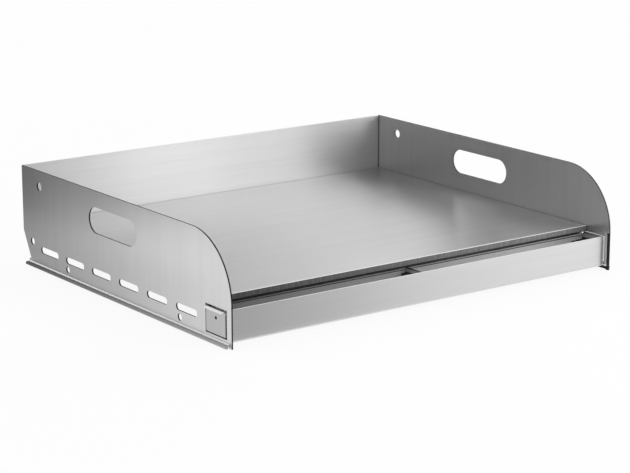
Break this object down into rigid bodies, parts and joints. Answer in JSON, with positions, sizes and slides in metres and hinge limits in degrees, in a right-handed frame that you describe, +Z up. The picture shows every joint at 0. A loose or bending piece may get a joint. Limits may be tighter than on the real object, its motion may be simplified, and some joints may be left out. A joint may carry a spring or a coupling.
{
  "type": "griddle plate",
  "caption": "Freestanding griddle: a thick cooking plate inside a sheet steel windshield with hand holes and vent slots, and grease trays that slide out sideways below its front edge.",
  "frame": {"origin": "on the surface that the feet stand on, under the middle of the object", "axes": "+X to the right, +Y to the rear, towards the back panel, +Z up"},
  "size_m": [0.612, 0.495, 0.132],
  "materials": {
    "plate_steel": "brushed along the width",
    "panel_steel": "brushed",
    "channel_steel": "brushed along the width",
    "tray_steel": "brushed along the length",
    "weld_steel": "cleaned weld bead"
  },
  "bodies": {
    "griddle": {"griddle_plate": "plate_steel", "back_panel": "panel_steel", "left_side_panel": "panel_steel", "right_side_panel": "panel_steel", "grease_channel": "channel_steel", "tray_stop": "channel_steel", "plate_welds": "weld_steel", "rear_corner_welds": "weld_steel", "channel_welds": "weld_steel"},
    "left_tray": {"left_tray_body": "tray_steel", "left_tray_outer_end": "tray_steel", "left_tray_inner_end": "tray_steel"},
    "right_tray": {"right_tray_body": "tray_steel", "right_tray_outer_end": "tray_steel", "right_tray_inner_end": "tray_steel"}
  },
  "joints": [
    {"name": "left_tray_slide", "type": "slide", "parent": "griddle", "child": "left_tray", "axis": [-1, 0, 0], "range_m": [0, 0.28]},
    {"name": "right_tray_slide", "type": "slide", "parent": "griddle", "child": "right_tray", "axis": [1, 0, 0], "range_m": [0, 0.28]}
  ]
}
